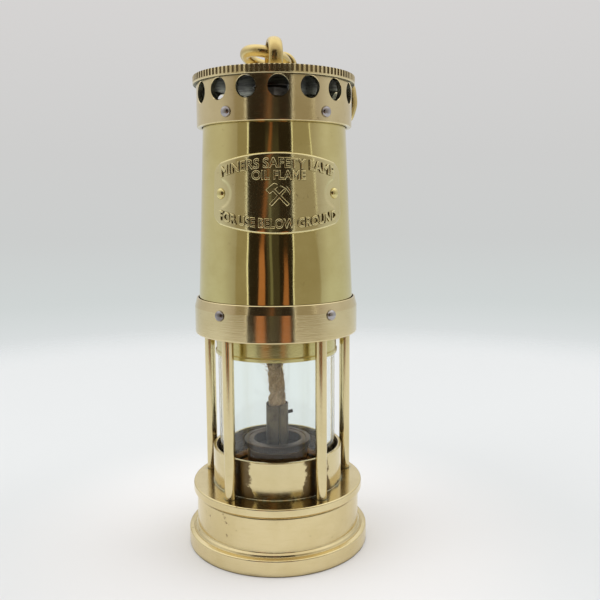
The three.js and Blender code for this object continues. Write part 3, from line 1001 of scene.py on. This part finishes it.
def make_crown():
    radius, bottom, top = reach("crown")
    bottom -= 0.3
    shelf = bottom + 0.75

    def notched(r, height, angle):
        phase = angle / (2 * math.pi) * CROWN_NOTCHES % 1
        if r > radius - 1.0 and shelf + 0.01 < height < top - 0.12 and 0.36 < phase < 0.80:
            r = min(r, radius - 0.38)
        return r, height

    outline = [
        (3.9, bottom), (radius - 0.25, bottom), (radius, bottom + 0.25), (radius, shelf),
        (radius - 0.02, shelf + 0.05), (radius - 0.02, top - 0.35), (radius - 0.08, top - 0.22),
        (radius - 0.2, top - 0.08), (radius - 0.4, top), (radius - 1.6, top), (20, top), (3.9, top),
    ]
    crown = turned("crown", outline, "crown", "frame", CROWN_NOTCHES * 8, notched)
    recolour(crown.data, "vent", lambda face: face.normal.z < -0.9)
    plain_ring("eye_washer", 3.9, "steel", "frame", 0.1, COARSE)


# ---- nameplate


def plate_point(x, y, lift):
    """Wraps a flat place on the nameplate, in millimetres, onto the bonnet."""
    height = PLATE_MIDDLE + y
    azimuth = PLATE_AZIMUTH + math.degrees(x / shell_radius(PLATE_MIDDLE))
    return around(azimuth, shell_radius(height) + lift, height) * MM


def plate_arch(x):
    """How far the plate's upper edge drops, and its lower edge rises, away from its middle."""
    return 4.6 * (x / 28.0) ** 2


def plate_relief(x, y):
    """The raised field, which curves in round each rivet."""
    rise, half_width, rivet_place, rivet_gap, softness = 0.32, 22.6, 24.9, 5.6, 0.175

    def step(value):
        return 1 / (1 + math.exp(-max(-30.0, min(30.0, value / softness))))

    rivet = min(math.hypot(x - rivet_place, y), math.hypot(x + rivet_place, y))
    end = half_width - abs(x) + 0.9 * abs(math.sin(y * 0.28)) + max(0, abs(y) - 5) * 0.35
    return rise * step(rivet - rivet_gap) * step(end)


def make_nameplate():
    half_width, half_height, corner, edge = 28.6, 15.9, 4.2, 1.0
    columns, rows = 150, 76
    vertices, faces = [], []
    for column in range(columns + 1):
        u = -1 + 2 * column / columns
        x = half_width * (1.35 * u - 0.35 * u**3)
        limit = half_height - plate_arch(x)
        over = abs(x) - (half_width - corner)
        if over > 0:
            limit -= corner - math.sqrt(max(0.0, corner**2 - over**2))
        for row in range(rows + 1):
            v = -1 + 2 * row / rows
            y = limit * (1.3 * v - 0.3 * v**3)
            inset = min(limit - abs(y), half_width - abs(x), edge)
            fall = edge - math.sqrt(edge**2 - (edge - inset) ** 2)
            vertices.append(plate_point(x, y, PLATE_LIFT + plate_relief(x, y) - fall))
            if column < columns and row < rows:
                a = column * (rows + 1) + row
                b = a + rows + 1
                faces.append((a, b, b + 1, a + 1))
    mesh = new_mesh(vertices, faces)
    finish_mesh(mesh, 50)
    plate = fit("nameplate", mesh, "plate_sheet", "frame")
    modify(plate, "SOLIDIFY", thickness=0.0008, offset=-1)
    lettering = [  # words, size, base line, arch, width
        ("MINERS SAFETY LAMP", 3.8, 9.9, 1, 47.5),
        ("OIL FLAME", 3.5, 5.3, 0, 20.5),
        ("FOR USE BELOW GROUND", 3.6, -13.4, -1, 48.0),
    ]
    for index, (words, size, base, arch, width) in enumerate(lettering):
        emboss(f"nameplate_words_{index + 1}", text_mesh(words, size, width), base, arch)
    emboss("nameplate_badge", badge_mesh(), -1.0, 0)


def text_mesh(words, size, width):
    """Raised letters, centred, stretched to a width."""
    curve = bpy.data.curves.new("words", "FONT")
    curve.body = words
    curve.size = size * 1.38
    curve.align_x = "CENTER"
    curve.offset = -0.07
    curve.resolution_u = 4
    mesh = curve_mesh(curve, 3)
    xs = [v.co.x for v in mesh.vertices]
    stretch = width / (max(xs) - min(xs))
    middle = (max(xs) + min(xs)) / 2
    for vertex in mesh.vertices:
        vertex.co.x = (vertex.co.x - middle) * stretch
    return mesh


def curve_mesh(curve, bevel_steps):
    """Raises flat outlines, with rounded edges."""
    curve.extrude = 0.1
    curve.bevel_depth = 0.3
    curve.bevel_resolution = bevel_steps
    holder = add_object("outlines", curve)
    mesh = evaluated_mesh(holder)
    bpy.data.objects.remove(holder)
    bpy.data.curves.remove(curve)
    return mesh


def badge_mesh():
    """A crossed pick and hammer."""
    curve = bpy.data.curves.new("badge", "CURVE")
    curve.dimensions = "2D"
    curve.fill_mode = "BOTH"
    tilt = math.radians(42)
    handle = [(-0.38, -4.6), (0.38, -4.6), (0.3, 3.0), (-0.3, 3.0)]
    head = [(-1.9, 3.05), (1.7, 3.05), (2.2, 3.9), (1.7, 4.75), (-1.9, 4.75)]
    pick = [
        (-3.4, 2.4), (-1.6, 3.25), (0, 3.5), (1.6, 3.25), (3.4, 2.4), (1.9, 4.1), (0, 4.6), (-1.9, 4.1),
    ]
    for points, turn in ((handle, tilt), (head, tilt), (handle, -tilt), (pick, -tilt)):
        c, s = math.cos(turn), math.sin(turn)
        spline = curve.splines.new("POLY")
        spline.points.add(len(points) - 1)
        for target, (x, y) in zip(spline.points, points):
            target.co = (x * c - y * s, x * s + y * c, 0, 1)
        spline.use_cyclic_u = True
    return curve_mesh(curve, 2)


def emboss(name, mesh, base, arch):
    """Wraps raised work round the bonnet, a little sunk into the plate.

    arch: 1 follows the plate's upper edge, -1 its lower edge, and 0 is straight.
    """
    for vertex in mesh.vertices:
        x, y, z = vertex.co
        vertex.co = plate_point(x, y + base - arch * plate_arch(x), PLATE_LIFT + 0.6 + z)
    finish_mesh(mesh, 45)
    put(name, mesh, "plate_sheet", "frame")


# ---- eye, link and hook


def joint(name):
    """A joint's axis, and its place in millimetres."""
    found = next(j for j in frame["record"]["behaviour"]["joints"] if j["name"] == name)
    return Vector(found["axis"]), Vector(found["pos_m"]) / MM


def oval_ring(ring, radial, axial, axis, centre, facets=120, section=28):
    """A ring of oval section, whose hole points along an axis."""
    turns = [2 * math.pi * step / section for step in range(section)]
    outline = [(ring + radial * math.cos(turn), axial * math.sin(turn)) for turn in turns]
    mesh = lathe_mesh(outline, facets)
    stand(mesh, centre, axis.normalized())
    return mesh


def fused(node, meshes):
    """One smooth skin over several overlapping solids, on the body that the node is named after."""
    piece = fit(node, joined_mesh(meshes), "eye", node)
    modify(piece, "REMESH", mode="VOXEL", voxel_size=0.00028)
    modify(piece, "SMOOTH", factor=0.5, iterations=6)
    bake_modifiers(piece)
    piece.data.shade_smooth()


def make_eye():
    azimuth = 188
    hole = outward(azimuth - 90)
    foot = reach("crown")[2]
    ring = oval_ring(6.5, 1.8, 3.0, hole, Vector((0, 0, reach("eye")[2] - 8.3)))
    outline = [
        (0, 192.8), (3.5, 192.8), (3.5, foot + 0.3), (6.0, foot + 0.3), (6.2, foot + 0.7),
        (6.0, foot + 1.2), (5.0, foot + 1.7), (4.2, foot + 2.6), (3.6, foot + 3.3), (0, foot + 3.3),
    ]
    shank = lathe_mesh(outline, COARSE, closed=False)
    fused("eye", [ring, shank])
    _, bottom, top = reach("eye_nut")
    nut = lathe_mesh(rounded(pipe_profile(3.8, 6.6, bottom, top, 0.2)), 6)
    nut.shade_flat()
    fit("eye_nut", nut, "steel", "eye")


def make_link():
    """It droops from the eye, rolled a little so that its rod clears the eye."""
    ring_radius, rod = 8.85, 2.5
    along, hold = joint("link_tilt")
    hinge = joint("hook_swing")[1]
    along.negate()
    back = outward(200)
    droop = math.radians(7)
    ahead = back * math.cos(droop) + along.cross(back) * math.sin(droop)
    roll = Matrix.Rotation(math.radians(4.5), 3, hinge - hold)
    along, ahead = roll @ along, roll @ ahead
    mesh = oval_ring(ring_radius, rod, rod, ahead.cross(along), hold + ahead * ring_radius, 144, 32)
    mesh.shade_smooth()
    fit("link", mesh, "eye", "link")


def make_hook():
    axis, centre = joint("hook_swing")
    ahead = Vector((-axis.y, axis.x, 0))
    rod, ring_radius = 2.35, 4.8
    bends = [
        (ring_radius, centre.z - 0.5), (11, 207.9), (16.5, 206.6), (22, 205.9), (26.4, 205.3),
        (28.9, 203.4), (30.3, 201), (30.9, 198), (31.2, 194.3), (30.5, 191.2), (29.3, 188.3),
        (27.5, 187.7),
    ]
    route = [centre + ahead * distance + Vector((0, 0, height - centre.z)) for distance, height in bends]
    path = smooth_path(route, 110)
    radii = [rod * min(1.0, 0.82 + 0.18 * i / 20) for i in range(len(path))]
    for i in range(1, 9):
        radii[-i] = rod * (0.8 + 0.2 * (i / 9) ** 0.5)
    ring = oval_ring(ring_radius, 1.6, 1.9, axis, centre, 96, 24)
    fused("hook", [ring, swept(path, radii, 24)])


# ---- the lamp


def finishes():
    """Brass: colour, roughness, tool lines, anisotropy. Metal: colour, shade, roughness."""
    warm = srgb(226, 210, 164)
    greenish = srgb(223, 210, 149)
    return {
        "base": brass("base_brass", warm, 0.20, 0.5, 0.5, grime_and_shade=0.8),
        "plate": brass("plate_brass", warm, 0.16, 0.5, 0.4, grime_and_shade=0.9, crust=True),
        "turned": brass("turned_brass", srgb(224, 207, 162), 0.15, 1.6, 0.55, grime_and_shade=0.7),
        "pillar": brass("pillar_brass", warm, 0.16, 0.4, 0.5, grime_and_shade=0.6),
        "sheet": brass("sheet_brass", greenish, 0.09, 0.15, 0.5, grime_and_shade=0.12, wave=0.0006),
        # The nameplate's strong darkening in corners is painted shade round the letters and the plate's
        # edges, with some patina.
        "plate_sheet": brass("nameplate_brass", srgb(226, 214, 164), 0.12, grime_and_shade=0.8, cast=0.5),
        "sheet_rivet": brass("plate_rivet_brass", greenish, 0.16, grime_and_shade=0.5, cast=0.3),
        "cast": brass("cast_brass", srgb(200, 190, 132), 0.22, 0.2, 0.1, grime_and_shade=1.0, cast=2.5),
        "neck": brass("neck_brass", srgb(178, 142, 96), 0.30, 0.5, 0.3, grime_and_shade=0.9, cast=0.6),
        "eye": brass("eye_brass", srgb(216, 194, 134), 0.22, grime_and_shade=0.8, cast=0.8),
        "collar": brass(
            "collar_brass", warm, 0.17, 0.5, 0.4, grime_and_shade=0.9, crust=True,
            stain=collar_stain, stain_and_shade_colour=srgb(74, 50, 26),
        ),
        # The crown's slot floors are darkened with painted shade.
        "crown": brass(
            "crown_brass", srgb(230, 214, 168), 0.2, 0.4, 0.6, grime_and_shade=0.15,
            stain=slot_shade, stain_and_shade_colour=srgb(122, 106, 76),
        ),
        "vent": plain_metal("vent_patina", srgb(152, 154, 136), srgb(84, 80, 66), 0.5, patch=200),
        "stain": plain_metal("collar_stain", srgb(120, 104, 80), srgb(70, 58, 44), 0.42, patch=160),
        "steel": plain_metal("rivet_steel", srgb(180, 176, 177), srgb(130, 124, 124), 0.2),
        "wire": plain_metal("wire_steel", srgb(92, 80, 72), srgb(60, 50, 44), 0.5),
        "dark": plain_metal("dark_bronze", srgb(112, 94, 76), srgb(74, 58, 44), 0.38, depth=0.00008),
        # The dish is painted much darker than the burner's bronze, as painted shade in the hollow inside
        # the burner ring.
        "dish": plain_metal("dish_bronze", srgb(62, 54, 46), srgb(44, 36, 30), 0.5),
        "tube": plain_metal("tube_metal", srgb(122, 108, 84), srgb(76, 64, 50), 0.45, 0.0001, 160),
        "gauze": gauze_material(),
        "glass": glass_material(),
        "fibre": fibre_material("pressed_fibre", srgb(150, 128, 98), srgb(104, 84, 62), 900),
        "cotton": fibre_material("loose_cotton", srgb(222, 214, 200), srgb(188, 176, 158), 500),
        "wick": fibre_material("wick_cotton", srgb(232, 204, 164), srgb(176, 146, 108), 1500),
    }


def make_lamp():
    for make in (
        make_vessel, make_burner, make_wick_tube, make_pricker, make_wick, make_lower_frame, make_glass,
        make_gauze_seat, make_gauzes, make_bonnet_ring, make_bonnet_shell, make_vent_band, make_rivets,
        make_crown, make_nameplate, make_eye, make_link, make_hook,
    ):
        make()
    cotton = frame["nodes"]["cotton_packing"].data.materials
    cotton.clear()
    cotton.append(FINISHES["cotton"])


bpy.context.scene.view_settings.view_transform = "Standard"
FINISHES = finishes()
make_camera()
make_light()
make_lamp()
